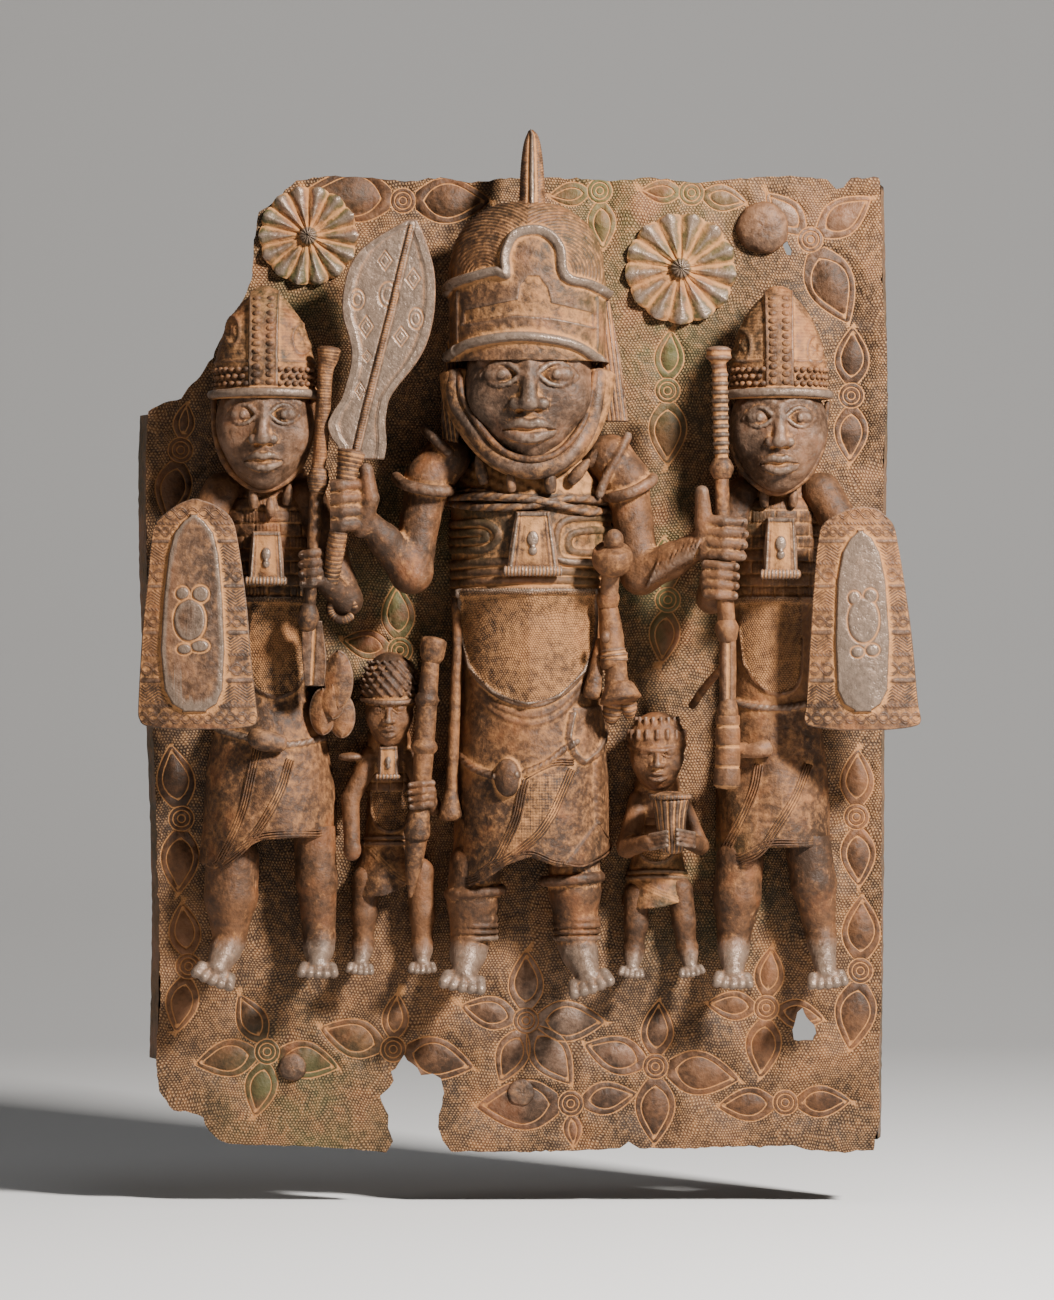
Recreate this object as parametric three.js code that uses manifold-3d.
// Cast brass relief plaque: a war chief between two shield bearers and two small attendants.
// Millimetres, +X to the viewer's right, +Z up, and the front faces -Y.
// The origin is the middle of the panel's flat back face, which bears on the post behind it.
// Every place on the relief is written as [x, z, depth], with depth measured forward from that face.
import * as THREE from "three";
import { mergeVertices } from "three/addons/utils/BufferGeometryUtils.js";
import Module from "manifold-3d";

const wasm = await Module();
wasm.setup();

// ---- driving dimensions ----
const SHEET = 4; // thickness of the cast panel
const FLANGE_DEPTH = 12; // how far the side flanges turn back
const FLANGE_SPLAY = { left: 5, right: 2.5 }; // how far each leans outwards
const FLANGE_WALL = 3.5;
const BITE = 1; // how deep anything on the panel is sunk in it
const LIMB_SIDES = 6; // facets round a limb or a rod
const BODY_SIDES = 12; // facets round a trunk or a helmet

// ---- joining and cutting ----

function solid(geometry) {
  const loose = geometry.index ? geometry.toNonIndexed() : geometry;
  const bare = new THREE.BufferGeometry().setAttribute("position", loose.getAttribute("position"));
  const merged = mergeVertices(bare, 1e-3);
  const corners = merged.index.array;
  const kept = [];
  for (let i = 0; i < corners.length; i += 3) {
    const [a, b, c] = [corners[i], corners[i + 1], corners[i + 2]];
    if (a !== b && b !== c && a !== c) kept.push(a, b, c);
  }
  return new wasm.Manifold(
    new wasm.Mesh({
      numProp: 3,
      vertProperties: merged.attributes.position.array,
      triVerts: new Uint32Array(kept),
    }),
  );
}

const join = (parts) => parts.reduce((whole, part) => whole.add(part));

function geometryOf(manifold) {
  const mesh = manifold.getMesh();
  const geometry = new THREE.BufferGeometry();
  geometry.setAttribute("position", new THREE.BufferAttribute(mesh.vertProperties, 3));
  geometry.setIndex(new THREE.BufferAttribute(mesh.triVerts, 1));
  geometry.computeVertexNormals();
  return geometry;
}

// ---- the plain forms that the relief is made of ----

const place = ([x, z, depth]) => new THREE.Vector3(x, -depth, z);

// An ellipsoid: half its width, height and depth about a centre.
function ball(centre, halfWidth, halfHeight, halfDepth, sides = 8, rings = 5) {
  const geometry = new THREE.SphereGeometry(1, sides, rings);
  geometry.rotateX(Math.PI / 2).scale(halfWidth, halfDepth, halfHeight);
  const at = place(centre);
  return solid(geometry.translate(at.x, at.y, at.z));
}

// A turned form about an upright axis. Its profile is [half width, z] from the bottom up, and
// roundness is its depth as a share of its width.
function column({ x, depth, roundness, profile, sides = BODY_SIDES }) {
  const bottom = profile[0][1];
  const top = profile[profile.length - 1][1];
  const outline = [[0, bottom], ...profile, [0, top]];
  const points = outline.map(([r, z]) => new THREE.Vector2(r, z));
  const geometry = new THREE.LatheGeometry(points, sides).rotateX(Math.PI / 2);
  return solid(geometry.scale(1, roundness, 1).translate(x, -depth, 0));
}

// The depth of such a form's front surface at a place [x, z] on it.
function frontOf({ x, depth, roundness, profile }, [atX, atZ]) {
  let upper = profile.findIndex(([, z]) => z >= atZ);
  if (upper < 1) upper = upper === 0 ? 1 : profile.length - 1;
  const [r0, z0] = profile[upper - 1];
  const [r1, z1] = profile[upper];
  const share = Math.min(1, Math.max(0, (atZ - z0) / (z1 - z0)));
  const half = r0 + (r1 - r0) * share;
  const across = Math.min(1, Math.abs(atX - x) / half);
  return depth + roundness * half * Math.sqrt(1 - across * across);
}

// A turned form laid from one place to another: profile of [radius, share of the way].
function turned(from, to, profile, sides = LIMB_SIDES) {
  const start = place(from);
  const way = place(to).sub(start);
  const length = way.length();
  const points = profile.map(([r, share]) => new THREE.Vector2(r, share * length));
  const geometry = new THREE.LatheGeometry(points, sides);
  const upright = new THREE.Vector3(0, 1, 0);
  const turn = new THREE.Quaternion().setFromUnitVectors(upright, way.normalize());
  return solid(geometry.applyQuaternion(turn).translate(start.x, start.y, start.z));
}

// A rod with flat ends.
function rod(from, to, r0, r1 = r0, sides = LIMB_SIDES) {
  const profile = [[0, 0], [r0, 0], [r1, 1], [0, 1]];
  return turned(from, to, profile, sides);
}

// One bone of a limb, with pointed ends that close its joints.
function bone(from, to, r0, r1 = r0, sides = LIMB_SIDES) {
  const length = place(to).sub(place(from)).length();
  const cap = 0.6;
  const profile = [[0, (-cap * r0) / length], [r0, 0], [r1, 1], [0, 1 + (cap * r1) / length]];
  return turned(from, to, profile, sides);
}

// A chain of bones through joints, each joint [place, radius].
function limb(joints, sides = LIMB_SIDES) {
  const bones = joints.slice(1).map(([to, r1], i) => {
    const [from, r0] = joints[i];
    return bone(from, to, r0, r1, sides);
  });
  return join(bones);
}

// A flat outline of [x, z] points, from one depth to another.
function slab(outline, near, far) {
  const shape = new THREE.Shape(outline.map(([x, z]) => new THREE.Vector2(x, z)));
  const geometry = new THREE.ExtrudeGeometry(shape, { depth: far - near, bevelEnabled: false });
  return solid(geometry.rotateX(Math.PI / 2).translate(0, -near, 0));
}

// A round bar bent through places.
function bentBar(places, radius, steps, sides = 4) {
  const corners = Array.from({ length: sides }, (_, i) => {
    const angle = (i / sides) * 2 * Math.PI;
    return new THREE.Vector2(radius * Math.cos(angle), radius * Math.sin(angle));
  });
  const section = new THREE.Shape(corners);
  const path = new THREE.CatmullRomCurve3(places.map(place));
  const options = { extrudePath: path, steps, bevelEnabled: false };
  return solid(new THREE.ExtrudeGeometry(section, options));
}

// A cord or roll that lies on a turned form, through [x, z] points.
function cordOn(form, points, radius, steps, sides = 4) {
  const places = points.map(([x, z]) => [x, z, frontOf(form, [x, z])]);
  return bentBar(places, radius, steps, sides);
}

// An oval outline as a closed list of points.
function oval([x, z], halfWidth, halfHeight, count) {
  return Array.from({ length: count }, (_, i) => {
    const angle = (i / count) * 2 * Math.PI;
    return [x + halfWidth * Math.cos(angle), z + halfHeight * Math.sin(angle)];
  });
}

// ---- the panel: a torn sheet with its two long sides turned back ----

// The torn outline, clockwise from the top left corner of what is left.
const TOP_EDGE = [
  [-108.5, 241.5], [-91.5, 244], [-70.5, 243], [-54, 241], [-36.5, 243], [-20.5, 240.5], [-6.5, 242.5],
  [23.5, 243], [48.5, 241.5], [68.5, 243], [93.5, 240.5], [111, 242.5], [138.5, 244], [157, 242],
  [161.5, 237], [165.5, 237.5], [169, 242.5], [183.5, 243.5],
];
const RIGHT_EDGE = [
  [184.5, 224], [185, 187], [187, 159.5], [187.5, 132],
  [185.5, 107], [185.5, 52], [184.5, -33], [184.5, -168],
  [183, -197.5], [183.5, -227.5], [180.5, -242.5],
];
const BOTTOM_EDGE = [
  [166, -244], [149.5, -243], [139.5, -240.5], [123.5, -241], [88.5, -242], [63.5, -242], [58, -239],
  [53.5, -242], [8.5, -244], [-30.5, -243.5], [-35.5, -237.5],
  [-37.5, -231.5], [-36.5, -222.5], [-34.5, -214.5],
  [-36, -207], [-40, -204.5], [-46, -205.5], [-48, -201.5], [-53, -198], [-55, -195], [-57.5, -199.5],
  [-61, -203.5], [-60, -208.5], [-66.5, -216], [-62.5, -226], [-62.5, -231.5], [-60, -238], [-63.5, -244],
  [-84, -242], [-106.5, -240.5], [-136.5, -240], [-146, -239], [-152.5, -233], [-155, -226.5], [-161.5, -224],
  [-170, -223.5],
];
const LEFT_EDGE = [
  [-177, -213.5], [-179, -197.5], [-176.5, -168], [-177.5, -118], [-180, -31.5], [-182.5, 32], [-183.5, 92],
  [-182.5, 126.5], [-175, 131], [-166, 133], [-162.5, 138.5], [-156.5, 144], [-150.5, 154], [-143.5, 169],
  [-134.5, 183], [-131, 192], [-129.5, 211.5], [-127.5, 225.5], [-120.5, 230], [-114, 236.5],
];
// A straight-sided nail hole at the lower right, and the slot beside the upper nail.
const NAIL_HOLE = [
  [140.5, -188], [150, -188], [152, -184.5], [151, -180.5],
  [147, -177], [145, -172.5], [142.5, -174.5], [140, -182.5],
];
const SLOT = [[135, 209.5], [137.5, 211.5], [139.5, 206.5], [139, 204], [137, 204.5]];

// One side flange: a strip along the long edge, turned back and leaning out.
function flange(bottom, top, outward) {
  const [x0, z0] = bottom;
  const [x1, z1] = top;
  const inward = -Math.sign(outward) * FLANGE_WALL;
  const section = [
    [x0, -SHEET + BITE / 2],
    [x0 + outward, FLANGE_DEPTH],
    [x0 + outward + inward, FLANGE_DEPTH],
    [x0 + inward, -SHEET + BITE / 2],
  ];
  const order = outward > 0 ? section : section.reverse();
  const shape = new THREE.Shape(order.map(([x, y]) => new THREE.Vector2(x, y)));
  const geometry = new THREE.ExtrudeGeometry(shape, { depth: z1 - z0, bevelEnabled: false });
  const lean = new THREE.Matrix4().makeShear(0, 0, 0, 0, (x1 - x0) / (z1 - z0), 0);
  return solid(geometry.applyMatrix4(lean).translate(0, 0, z0));
}

function panel() {
  const sheet = slab([...TOP_EDGE, ...RIGHT_EDGE, ...BOTTOM_EDGE, ...LEFT_EDGE], 0, SHEET);
  const cut = -SHEET;
  const open = sheet.subtract(slab(NAIL_HOLE, cut, 3 * SHEET)).subtract(slab(SLOT, cut, 3 * SHEET));
  const left = -FLANGE_SPLAY.left;
  const right = FLANGE_SPLAY.right;
  return join([
    open,
    flange([-178, -197.5], [-179.5, -33], left),
    flange([-179.5, -35.5], [-183.5, 125], left),
    flange([182.5, -237.5], [185, 52], right),
    flange([185, 49.5], [184, 239.5], right),
  ]);
}

// ---- ornaments on the panel ----

// A fluted rosette: petals pressed between ridges, with a knob in the middle.
function rosette([x, z], radius, petals) {
  const rise = 5;
  const bay = 0.94;
  const knob = 0.18 * radius;
  const outline = Array.from({ length: 2 * petals }, (_, i) => {
    const angle = (i / petals) * Math.PI;
    const reach = i % 2 === 0 ? radius : bay * radius;
    return [x + reach * Math.cos(angle), z + reach * Math.sin(angle)];
  });
  return join([
    slab(outline, SHEET - BITE, SHEET + rise),
    ball([x, z, SHEET + rise], knob, knob, 0.8 * knob, 8, 4),
  ]);
}

// ---- what the figures share ----

// A calm, evenly proportioned face on an egg-shaped head: nose, lips and lidded eyes.
function face(centre, halfWidth, halfHeight, halfDepth, sides = 8) {
  const [x, z, depth] = centre;
  const front = depth + halfDepth;
  const parts = [ball(centre, halfWidth, halfHeight, halfDepth, sides, 7)];
  const noseTop = [x, z + 0.28 * halfHeight, front - 0.14 * halfDepth];
  const noseTip = [x, z - 0.12 * halfHeight, front + 0.04 * halfDepth];
  parts.push(bone(noseTop, noseTip, 0.08 * halfWidth, 0.2 * halfWidth, 5));
  for (const side of [-1, 1]) {
    const eye = [x + side * 0.4 * halfWidth, z + 0.2 * halfHeight, front - 0.24 * halfDepth];
    parts.push(ball(eye, 0.25 * halfWidth, 0.13 * halfHeight, 0.18 * halfDepth, 5, 3));
  }
  const lips = [x, z - 0.5 * halfHeight, front - 0.24 * halfDepth];
  parts.push(ball(lips, 0.34 * halfWidth, 0.15 * halfHeight, 0.24 * halfDepth, 6, 3));
  return join(parts);
}

// A foot that hangs down and forward from its ankle, broadest at the toes.
function foot(ankle, toes, ankleHalf, toeHalf) {
  const start = place(ankle);
  const way = place(toes).sub(start);
  const length = way.length();
  const corner = 0.3 * toeHalf;
  const thickness = 0.9 * toeHalf;
  const shape = new THREE.Shape([
    new THREE.Vector2(-ankleHalf, 0),
    new THREE.Vector2(ankleHalf, 0),
    new THREE.Vector2(toeHalf, length - corner),
    new THREE.Vector2(toeHalf - corner, length),
    new THREE.Vector2(corner - toeHalf, length),
    new THREE.Vector2(-toeHalf, length - corner),
  ]);
  const geometry = new THREE.ExtrudeGeometry(shape, { depth: thickness, bevelEnabled: false });
  geometry.translate(0, 0, -thickness / 2);
  const along = way.normalize();
  const across = new THREE.Vector3(1, 0, 0).addScaledVector(along, -along.x).normalize();
  const upward = new THREE.Vector3().crossVectors(across, along);
  const turn = new THREE.Matrix4().makeBasis(across, along, upward).setPosition(start);
  return solid(geometry.applyMatrix4(turn));
}

// A leg from under the hem to its ankle, and the foot below it.
function leg(hip, ankle, toes, calfRadius, ankleRadius, toeHalf, sides = LIMB_SIDES) {
  return join([
    rod(hip, ankle, calfRadius, ankleRadius, sides),
    foot(ankle, toes, ankleRadius, toeHalf),
  ]);
}

// The four-sided bell that hangs on a chest, with a thick lip.
function chestBell([x, top], bottom, topHalf, bottomHalf, back, front) {
  const lipHalf = bottomHalf + 1;
  const lipTop = bottom + 0.12 * (top - bottom);
  const sides = [
    [x - topHalf, top],
    [x - bottomHalf, bottom],
    [x + bottomHalf, bottom],
    [x + topHalf, top],
  ];
  const lip = [
    [x - lipHalf, lipTop],
    [x - lipHalf, bottom - 1],
    [x + lipHalf, bottom - 1],
    [x + lipHalf, lipTop],
  ];
  return join([slab(sides, back, front), slab(lip, back, front + 1.5)]);
}

// Leopard teeth of a necklace, each standing up and out from where it hangs on the chest.
function teeth(form, roots, length, radius) {
  const sunk = 5;
  return join(
    roots.map(([x, z]) => {
      const depth = frontOf(form, [x, z]);
      const root = [x, z - length / 2, depth - sunk];
      const tip = [x, z + length / 2, depth + length / 2];
      return turned(root, tip, [[0, 0], [radius, 0.5], [0, 1]], 4);
    }),
  );
}

// Four fingers closed round an upright staff.
function fist([x, z, depth], halfWidth, halfHeight, halfDepth) {
  const fingers = 4;
  const pitch = (2 * halfHeight) / fingers;
  const outline = [[-halfHeight, -halfDepth]];
  for (let i = 0; i < fingers; i += 1) {
    const low = -halfHeight + i * pitch;
    if (i > 0) outline.push([low, 0.5 * halfDepth]);
    outline.push([low + 0.25 * pitch, halfDepth], [low + 0.75 * pitch, halfDepth]);
  }
  outline.push([halfHeight, -halfDepth]);
  const shape = new THREE.Shape(outline.map(([a, b]) => new THREE.Vector2(-b, a)));
  const geometry = new THREE.ExtrudeGeometry(shape, { depth: 2 * halfWidth, bevelEnabled: false });
  const turn = new THREE.Matrix4().makeBasis(
    new THREE.Vector3(0, 1, 0),
    new THREE.Vector3(0, 0, 1),
    new THREE.Vector3(1, 0, 0),
  );
  return solid(geometry.applyMatrix4(turn).translate(x - halfWidth, -depth, z));
}

// ---- the war chief in the middle ----

const CHIEF_HELMET = {
  x: 7,
  depth: 36,
  roundness: 0.78,
  profile: [
    [38.5, 152],
    [39.5, 181.5],
    [38, 200.5],
    [31, 217],
    [19, 226.5],
    [6, 228.5],
  ],
};
const CHIEF_TRUNK = {
  x: 9,
  depth: 9,
  roundness: 1,
  profile: [
    [39.5, -110.5],
    [38.5, -59.5],
    [35.5, -20],
    [35.5, 25.5],
    [39.5, 36.5],
    [40, 83.5],
    [33, 99.5],
    [21, 112.5],
  ],
};

function chiefHelmet() {
  const brim = [
    [-31.5, 149], [-24.5, 153.5], [-8.5, 156], [7, 156.5], [23, 155.5], [38, 152], [45, 148],
  ];
  const arch = [
    [-31.5, 181.5], [-18, 187], [-6, 190], [-1, 200.5], [5.5, 207.5], [13.5, 208.5],
    [20, 204], [26, 192], [35, 185.5], [45.5, 180],
  ];
  const crestFoot = [9.5, 223, 40];
  const crestTop = [9, 264.5, 24];
  return join([
    column(CHIEF_HELMET),
    cordOn(CHIEF_HELMET, brim, 4.5, 6),
    cordOn(CHIEF_HELMET, arch, 3.5, 9),
    turned(crestFoot, crestTop, [[0, 0], [6.5, 0], [6, 0.5], [4, 0.85], [0, 1]], 6),
  ]);
}

function chiefHead() {
  const strap = [
    [-27, 144, 40], [-24.5, 123, 44], [-12, 106, 50], [7.5, 97, 54],
    [27, 105, 50], [40, 121.5, 44], [43, 143, 40],
  ];
  const collarTeeth = [[-25, 96], [-13, 90], [0.5, 87], [19, 86.5], [33, 91], [44, 98]];
  return join([
    chiefHelmet(),
    face([8, 131.5, 36], 34, 31, 27, 10),
    bentBar(strap, 5, 7),
    bone([47, 155, 38], [52.5, 121, 30], 4.5, 4.5, 4),
    bone([-30.5, 140.5, 34], [-31.5, 108, 24], 4.5, 4.5, 4),
    teeth(CHIEF_TRUNK, collarTeeth, 11, 3.5),
  ]);
}

function chiefTrunk() {
  const hem = [
    [-36, -109.5], [-12, -107.5], [3.5, -98], [23.5, -99.5], [55.5, -95], [55.5, -116.5], [-36, -116.5],
  ];
  const apron = [
    [-25.5, 35.5], [-24.5, 12], [-16, -5.5], [-3.5, -17], [9.5, -20.5], [23.5, -16.5], [36, -4],
    [43, 12], [44, 35.5],
  ];
  const breastCord = [[-31.5, 78.5], [-13.5, 77.5], [8.5, 80], [33, 80.5], [48.5, 76.5]];
  const lowerRib = [[-29.5, 39], [-11, 36.5], [8.5, 35.5], [30.5, 37], [45, 40]];
  const sash = [[-28.5, -45.5], [-16, -53], [-2.5, -57], [16, -53], [33, -44.5], [44, -34]];
  const pouch = [
    [28, -19.5], [28, -36.5], [31.5, -46], [36, -49], [42, -44.5], [47, -32.5], [47, -19.5],
  ];
  return join([
    column(CHIEF_TRUNK).subtract(slab(hem, -1, 80)),
    slab(apron, 30, 49),
    slab(pouch, 24, 46),
    cordOn(CHIEF_TRUNK, breastCord, 4.5, 4),
    cordOn(CHIEF_TRUNK, lowerRib, 3.5, 4),
    cordOn(CHIEF_TRUNK, sash, 3.5, 6),
    ball([-2.5, -56, 50], 6.5, 8.5, 6, 6, 4),
    chestBell([8.5, 74], 45, 8, 12.5, 40, 54),
  ]);
}

function chiefLegs() {
  const anklet = 12;
  return join([
    leg([-19, -102.5, 20], [-21.5, -138.5, 18], [-25.5, -160, 40], 13, 9.5, 11.5, 7),
    leg([30.5, -92.5, 20], [31.5, -138.5, 18], [39.5, -160.5, 40], 13, 9.5, 11.5, 7),
    rod([-20.5, -136, 19], [-20, -125, 19], anklet, anklet, 7),
    rod([32, -136, 19], [32, -125, 19], anklet, anklet, 7),
  ]);
}

// The ceremonial sword raised at the viewer's left: a broad leaf with a waist, a midrib and a grip.
function chiefSword() {
  const blade = [
    [-49, 220.5], [-43.5, 210.5], [-39.5, 196], [-38.5, 178], [-42, 161], [-50.5, 146.5], [-59.5, 136],
    [-62.5, 124], [-62.5, 107.5], [-71, 104.5], [-75, 90.5], [-84.5, 90.5], [-89, 101.5], [-84, 112],
    [-91, 118], [-82.5, 130], [-79, 144.5], [-80, 158], [-83.5, 171], [-83.5, 184], [-79, 198],
    [-65.5, 211.5],
  ];
  const midrib = [[-50, 215.5, 51], [-58, 179, 51], [-67, 144.5, 51], [-78.5, 101.5, 51]];
  return join([
    slab(blade, 47, 51),
    bentBar(midrib, 2, 3),
    rod([-81.5, 93.5, 50], [-87, 58.5, 50], 5.5, 4.5, 6),
    bone([-87, 61, 48], [-90.5, 37.5, 42], 4.5, 4, 6),
  ]);
}

function chiefArms() {
  const swordArm = [
    [[-36, 100, 24], 13],
    [[-45.5, 81.5, 28], 10],
    [[-50.5, 45.5, 32], 11.5],
    [[-74, 70, 46], 7],
  ];
  const staffArm = [
    [[52, 100, 24], 13],
    [[58.5, 81.5, 28], 10],
    [[63.5, 44.5, 32], 11.5],
    [[92, 58.5, 50], 7.5],
  ];
  return join([
    limb(swordArm, 7),
    fist([-85.5, 78, 52], 11, 13, 8),
    bone([-76, 70, 50], [-71, 94.5, 50], 4.5, 4, 5),
    bone([-54, 89, 29], [-34, 86, 29], 3, 3, 4),
    limb(staffArm, 7),
    rod([74.5, 49, 39], [88, 56, 48], 10.5, 9, 7),
    fist([104.5, 62, 58], 10, 11, 8),
    bone([96, 58.5, 52], [93, 81.5, 52], 4.5, 4, 5),
    bone([46, 89, 29], [65.5, 91, 29], 3, 3, 4),
  ]);
}

// The sheath under the chief's arm, hanging from a round guard to two small tassels.
function chiefSheath() {
  return join([
    rod([47, 36.5, 34], [49.5, 62, 58], 6.5, 4.5, 6),
    rod([48.5, 44.5, 44], [49, 54, 56], 9.5, 9.5, 7),
    rod([52, -13, 34], [47, 37.5, 34], 7, 6.5, 6),
    rod([53.5, -17.5, 34], [51.5, -9, 34], 10.5, 7.5),
    bone([50, -15, 30], [49, -25.5, 30], 4.5, 4, 5),
    bone([57, -13, 30], [57.5, -23, 30], 4, 3.5, 5),
    rod([43, 12, 30], [39, -15.5, 34], 2.5, 5, 4),
  ]);
}

// The thin rod with a flared end that hangs at the chief's other hip.
function chiefTrumpet() {
  return join([
    rod([-30, -67.5, 24], [-26.5, 22, 22], 3, 2, 5),
    rod([-31, -76.5, 26], [-30, -64.5, 25], 6.5, 3.5, 6),
  ]);
}

// ---- the two shield bearers ----

const BRIM_LEVEL = 134;
const HELMET_HEIGHT = 52;
const SHIELD_BEND = 100; // radius that a shield is bent to, across its width

function bearerTrunk(x, hemHalf, hipHalf, chestHalf) {
  return {
    x,
    depth: 7,
    roundness: 0.98,
    profile: [
      [hemHalf, -102.5],
      [0.94 * hemHalf, -67],
      [hipHalf, -40],
      [22, -15],
      [20, 22],
      [chestHalf, 75],
      [0.5 * chestHalf, 100],
    ],
    sides: 10,
  };
}

const LEFT_TRUNK = bearerTrunk(-121.5, 35, 29, 28);
const RIGHT_TRUNK = bearerTrunk(130, 30, 25, 25.5);

// The tall pointed helmet, with its brim roll and the beaded band up its front.
function bearerHelmet(x, brimHalf) {
  const at = (share) => BRIM_LEVEL + share * HELMET_HEIGHT;
  const profile = [
    [brimHalf, at(-0.06)],
    [brimHalf + 2.5, at(0)],
    [brimHalf, at(0.06)],
    [brimHalf, at(0.28)],
    [0.72 * brimHalf, at(0.72)],
    [0.16 * brimHalf, at(1)],
  ];
  const bandHalf = 0.27 * brimHalf;
  const band = [
    [x - bandHalf, at(0)],
    [x + bandHalf, at(0)],
    [x + bandHalf, at(0.55)],
    [x, at(0.97)],
    [x - bandHalf, at(0.55)],
  ];
  return join([
    column({ x, depth: 32, roundness: 0.8, profile, sides: 10 }),
    slab(band, 34, 33 + 0.8 * brimHalf),
  ]);
}

// A tall shield, bent across its width, with a long raised oval down its middle.
function shield(outline, middle, ovalHalfWidth, ovalHalfHeight, front) {
  const thickness = 4;
  const drum = (radius) => {
    const profile = [[radius, -BRIM_LEVEL * 2], [radius, BRIM_LEVEL]];
    return column({ x: middle[0], depth: front - SHIELD_BEND, roundness: 1, profile, sides: 48 });
  };
  const shell = drum(SHIELD_BEND).subtract(drum(SHIELD_BEND - thickness));
  const raised = drum(SHIELD_BEND + 1.5).subtract(drum(SHIELD_BEND - thickness / 2));
  const back = front - 3 * thickness;
  const raisedOutline = oval(middle, ovalHalfWidth, ovalHalfHeight, 12);
  return join([
    slab(outline, back, front + 1).intersect(shell),
    slab(raisedOutline, back, front + thickness).intersect(raised),
  ]);
}

function leftBearer() {
  const headX = -123;
  const hem = [[-160, -104], [-147, -102.5], [-124, -88], [-80.5, -86], [-80.5, -109], [-160, -109]];
  const bib = [[-130, 31.5], [-132, 2], [-126, -14.5], [-115, -16.5], [-104, -8], [-102, 31.5]];
  const shieldEdge = [
    [-183.5, -28], [-180.5, 31.5], [-177.5, 66], [-171.5, 75], [-163.5, 79], [-155.5, 81],
    [-147.5, 79], [-139, 72.5], [-134.5, 62], [-130, 21.5], [-125.5, -27.5], [-141.5, -31.5], [-168.5, -31.5],
  ];
  const armBehindShield = [
    [[-145.5, 84.5, 20], 9.5],
    [[-156.5, 51.5, 32], 9],
    [[-151.5, 12, 47], 8],
  ];
  const staffArm = [
    [[-103, 82.5, 20], 9.5],
    [[-84, 30, 30], 8.5],
    [[-96, 44, 42], 5.5],
  ];
  const roots = [[-139, 87], [-129.5, 79], [-119.5, 77], [-111, 81]];
  const lappet = [[-92.5, 12], [-82, 12], [-80.5, -15], [-87, -21.5], [-93, -15]];
  const lappetFoot = [[-99, -13], [-79.5, -13], [-80.5, -33.5], [-89.5, -35.5], [-98, -28.5]];
  return join([
    bearerHelmet(headX, 25),
    face([headX, 112.5, 32], 24, 27, 20),
    column(LEFT_TRUNK).subtract(slab(hem, -1, 80)),
    teeth(LEFT_TRUNK, roots, 10, 3),
    slab(bib, 20, 36),
    chestBell([-121.5, 64.5], 39.5, 6.5, 10, 28, 44),
    leg([-139.5, -98.5, 18], [-141, -138, 16], [-149.5, -157, 36], 13.5, 8.5, 11),
    leg([-99, -82.5, 18], [-96.5, -137, 16], [-96.5, -153.5, 36], 10.5, 8, 10),
    limb(armBehindShield, 6),
    limb(staffArm, 6),
    fist([-99, 48, 46], 5, 10, 7),
    bone([-127.5, -36.5, 36], [-113.5, -39.5, 36], 5, 5, 5),
    shield(shieldEdge, [-158, 25], 15.5, 47.5, 56),
    rod([-101, 24, 44], [-96, 89, 44], 4, 4, 6),
    rod([-96.5, 86, 44], [-90.5, 154.5, 46], 4.5, 5.5, 6),
    bone([-99.5, 91, 44], [-93, 90, 44], 4.5, 4.5, 5),
    slab([[-104.5, 25.5], [-94, 25.5], [-95, -9.5], [-103, -9.5]], 30, 46),
    slab(lappet, 12, 34),
    slab(lappetFoot, 10, 30),
  ]);
}

function rightBearer() {
  const headX = 131.5;
  const hem = [[92.5, -96], [105, -97], [112.5, -100], [128.5, -92], [167, -88.5], [167, -109], [92.5, -109]];
  const bib = [[111, 33.5], [113, 7], [124.5, -13], [134.5, -14.5], [143.5, -8], [145, 33.5]];
  const shieldEdge = [
    [144, -28], [148, 21.5], [150.5, 58.5], [155, 71], [163, 75], [172.5, 77],
    [180.5, 75.5], [186.5, 70], [191, 44], [200.5, -26.5], [194, -30.5], [160.5, -32],
  ];
  const armBehindShield = [
    [[153.5, 84.5, 20], 9.5],
    [[168, 51.5, 32], 9],
    [[165, 12, 47], 8],
  ];
  const staffArm = [
    [[114, 82.5, 20], 9.5],
    [[99.5, 31.5, 34], 8],
    [[103, 40.5, 48], 5.5],
  ];
  const roots = [[116, 84], [125, 79], [139.5, 79], [148, 86]];
  const belt = [[107.5, -18], [124.5, -21], [143, -19.5]];
  return join([
    bearerHelmet(headX, 24),
    face([headX, 110.5, 32], 23, 26, 20),
    column(RIGHT_TRUNK).subtract(slab(hem, -1, 80)),
    teeth(RIGHT_TRUNK, roots, 10, 3),
    slab(bib, 20, 36),
    chestBell([132, 71.5], 42.5, 6.5, 9.5, 28, 44),
    leg([113, -98.5, 18], [110, -138, 16], [109, -159, 36], 12.5, 8, 10),
    leg([146.5, -90, 18], [153, -134, 16], [156, -159, 36], 12, 8, 10),
    limb(armBehindShield, 6),
    limb(staffArm, 6),
    fist([101.5, 41.5, 58], 8.5, 9, 8),
    bone([113.5, -43, 32], [124, -42.5, 34], 4, 4.5, 5),
    cordOn(RIGHT_TRUNK, belt, 3, 2),
    shield(shieldEdge, [172, 21.5], 13.5, 44.5, 56),
    rod([102.5, 7, 54], [100.5, 154, 56], 4.5, 4.5, 6),
    bone([98.5, 96.5, 56], [107, 96.5, 56], 4.5, 4.5, 5),
    rod([105, -25.5, 52], [106, 21, 52], 4, 5.5, 6),
    rod([106, -61, 50], [105.5, -21.5, 50], 7, 5, 6),
    bone([104, -43, 52], [115, -41.5, 28], 4, 4, 5),
    bentBar([[89, -21, 14], [96.5, -9, 28], [106, 1, 48]], 2, 2),
  ]);
}

// ---- the two small attendants ----

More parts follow.
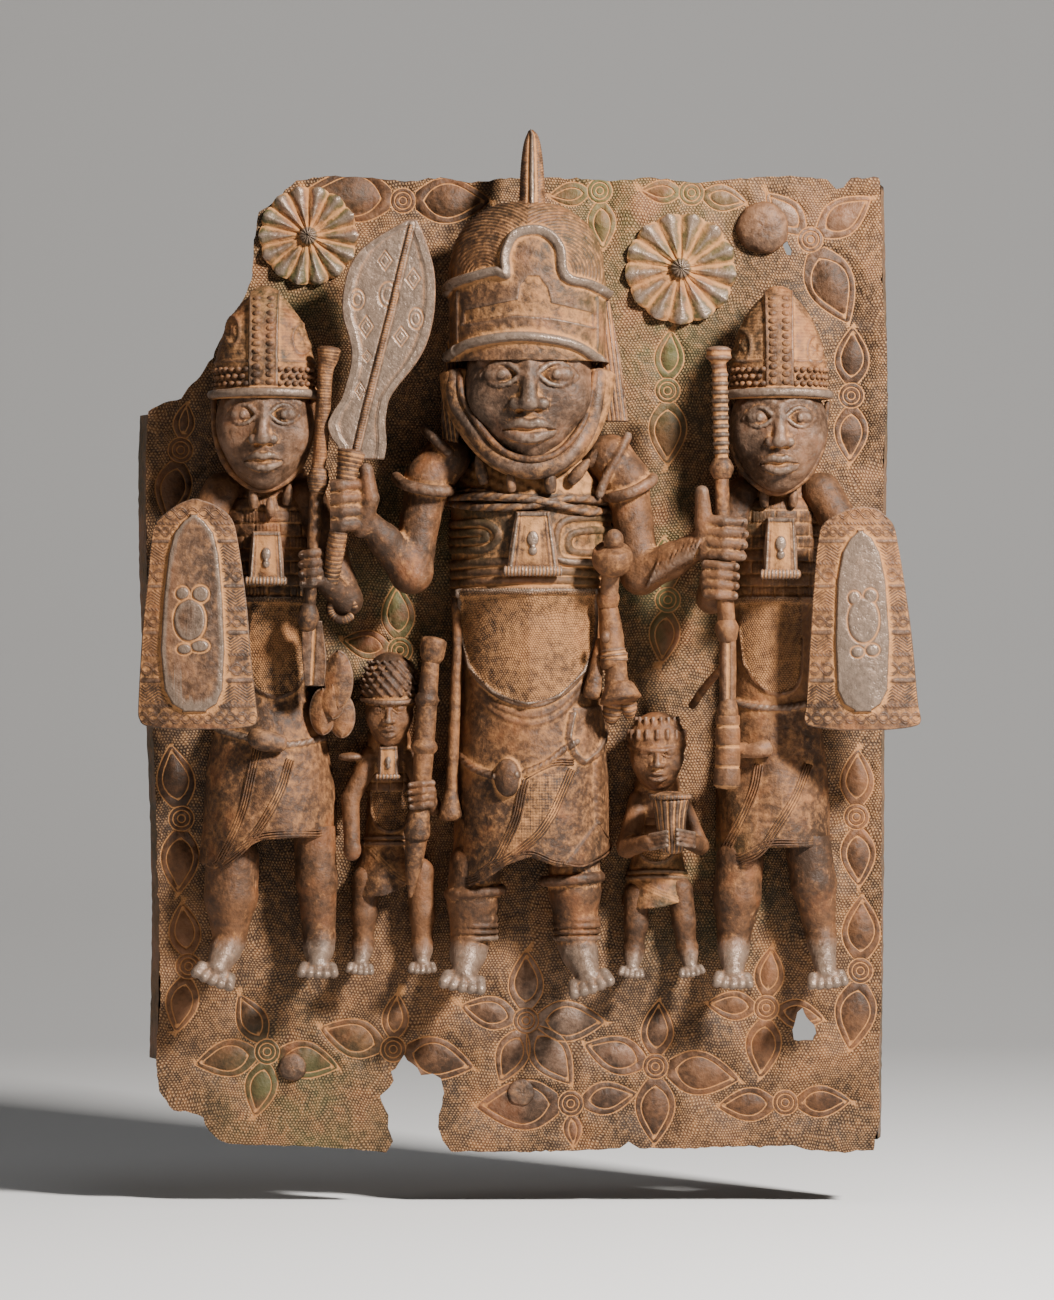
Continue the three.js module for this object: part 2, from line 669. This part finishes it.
// A small head: face, nose, and a cap whose profile is narrower towards its top.
function smallHead([x, brow, depth], halfWidth, faceHeight, capHeight) {
  const nose = [x, brow - 0.25 * faceHeight, depth + 0.7 * halfWidth];
  const noseTip = [x, brow - 0.52 * faceHeight, depth + 0.85 * halfWidth];
  const cap = [
    [1.12 * halfWidth, brow - 1],
    [1.12 * halfWidth, brow + 0.35 * capHeight],
    [0.78 * halfWidth, brow + 0.8 * capHeight],
    [0.35 * halfWidth, brow + capHeight],
  ];
  return join([
    ball([x, brow - 0.42 * faceHeight, depth], halfWidth, 0.62 * faceHeight, 0.85 * halfWidth, 8, 5),
    bone(nose, noseTip, 0.8, 2.2, 4),
    column({ x, depth, roundness: 0.9, profile: cap, sides: 7 }),
  ]);
}

// At the viewer's left: a musketeer, his gun upright beside him.
function leftAttendant() {
  const trunk = {
    x: -61,
    depth: 6,
    roundness: 1.1,
    profile: [
      [20, -113],
      [13.5, -86],
      [10.5, -67.5],
      [15, -47.5],
      [8, -32.5],
    ],
    sides: 8,
  };
  return join([
    smallHead([-61, -16.5, 20], 12.5, 23, 23),
    column(trunk),
    limb([[[-71, -46.5, 14], 5.5], [[-80, -67.5, 16], 4.5], [[-77, -88.5, 22], 4.5]], 5),
    limb([[[-51, -46.5, 14], 5], [[-40, -70.5, 18], 4.5], [[-45.5, -65.5, 30], 4]], 5),
    fist([-46, -64.5, 36], 6.5, 7, 6),
    chestBell([-62, -41.5], -56.5, 4, 6, 16, 27),
    leg([-73.5, -109.5, 12], [-74.5, -139.5, 11], [-76, -153, 26], 7.5, 5.5, 6.5, 5),
    leg([-46.5, -106.5, 12], [-45.5, -139.5, 11], [-45.5, -152.5, 26], 7, 5.5, 7.5, 5),
    rod([-48.5, -85, 32], [-39.5, 11, 32], 6, 5.5, 6),
    rod([-45, -42.5, 32], [-42.5, -15, 32], 7, 7, 6),
    turned([-48.5, -83, 32], [-51, -115.5, 32], [[0, 0], [6.5, 0], [2.5, 0.9], [0, 1]], 6),
  ]);
}

// At the viewer's right: a youth holding a fluted vessel in both hands.
function rightAttendant() {
  const trunk = {
    x: 71.5,
    depth: 6,
    roundness: 1.1,
    profile: [
      [17.5, -121],
      [15, -102],
      [11.5, -87],
      [15, -71.5],
      [8, -56.5],
    ],
    sides: 8,
  };
  return join([
    smallHead([71.5, -38, 20], 14, 26, 15),
    column(trunk),
    limb([[[62, -67.5, 14], 6], [[58, -91.5, 18], 5.5], [[72, -86, 34], 4]], 5),
    limb([[[83, -69.5, 14], 5.5], [[92, -91.5, 18], 5], [[83.5, -86, 34], 4]], 5),
    bone([66, -88, 36], [74.5, -85, 38], 5.5, 5, 4),
    bone([90.5, -85, 36], [82.5, -84, 38], 5.5, 5, 4),
    turned([78.5, -90, 32], [78, -65.5, 38], [[0, 0], [6, 0], [11, 1], [0, 1]], 8),
    leg([61.5, -115.5, 12], [60.5, -142.5, 11], [59, -153.5, 26], 6.5, 5, 6.5, 5),
    leg([83, -113.5, 12], [86, -141.5, 11], [88.5, -153, 26], 6.5, 5, 6.5, 5),
  ]);
}

// ---- the nails through the panel ----

// A round-headed nail in its own hole; a gap keeps it clear of the casting.
const NAIL_GAP = 0.3;
const NAILS = {
  nail_upper_right: { at: [124.5, 218], headRadius: 13, shankRadius: 4, rise: 7 },
  nail_lower_left: { at: [-110.5, -201.5], headRadius: 7, shankRadius: 3.5, rise: 4 },
  nail_lower_middle: { at: [4, -214], headRadius: 7, shankRadius: 3.5, rise: 1.2 },
};

function nail({ at: [x, z], headRadius, shankRadius, rise }) {
  const base = SHEET + NAIL_GAP;
  const length = base + rise;
  const share = (depth) => depth / length;
  return turned(
    [x, z, 0],
    [x, z, length],
    [
      [0, 0],
      [shankRadius, 0],
      [shankRadius, share(base)],
      [headRadius, share(base)],
      [0.94 * headRadius, share(base + 0.4 * rise)],
      [0.55 * headRadius, share(base + 0.88 * rise)],
      [0, 1],
    ],
    10,
  );
}

function nailHole({ at: [x, z], shankRadius }) {
  return rod([x, z, -SHEET], [x, z, 3 * SHEET], shankRadius + NAIL_GAP, shankRadius + NAIL_GAP, 10);
}

// ---- the whole casting, and the group ----

function casting() {
  const relief = join([
    rosette([-102, 214], 25, 14),
    rosette([84, 197.5], 27.5, 13),
    chiefTrunk(),
    chiefLegs(),
    chiefHead(),
    chiefArms(),
    chiefSword(),
    chiefSheath(),
    chiefTrumpet(),
    leftBearer(),
    rightBearer(),
    leftAttendant(),
    rightAttendant(),
  ]);
  const reach = 400;
  const square = [[-reach, -reach], [reach, -reach], [reach, reach], [-reach, reach]];
  const behind = slab(square, -reach, SHEET - BITE);
  let whole = panel().add(relief.subtract(behind));
  for (const one of Object.values(NAILS)) whole = whole.subtract(nailHole(one));
  return whole;
}

const brass = new THREE.MeshStandardMaterial({ color: 0x7a5a40, roughness: 0.55, metalness: 0.5 });
const nailBrass = new THREE.MeshStandardMaterial({ color: 0x6b5648, roughness: 0.45, metalness: 0.6 });

const plaque = new THREE.Group();
const body = new THREE.Mesh(geometryOf(casting()), brass);
body.name = "plaque";
plaque.add(body);
for (const [name, sizes] of Object.entries(NAILS)) {
  const mesh = new THREE.Mesh(geometryOf(nail(sizes)), nailBrass);
  mesh.name = name;
  plaque.add(mesh);
}

export default plaque;
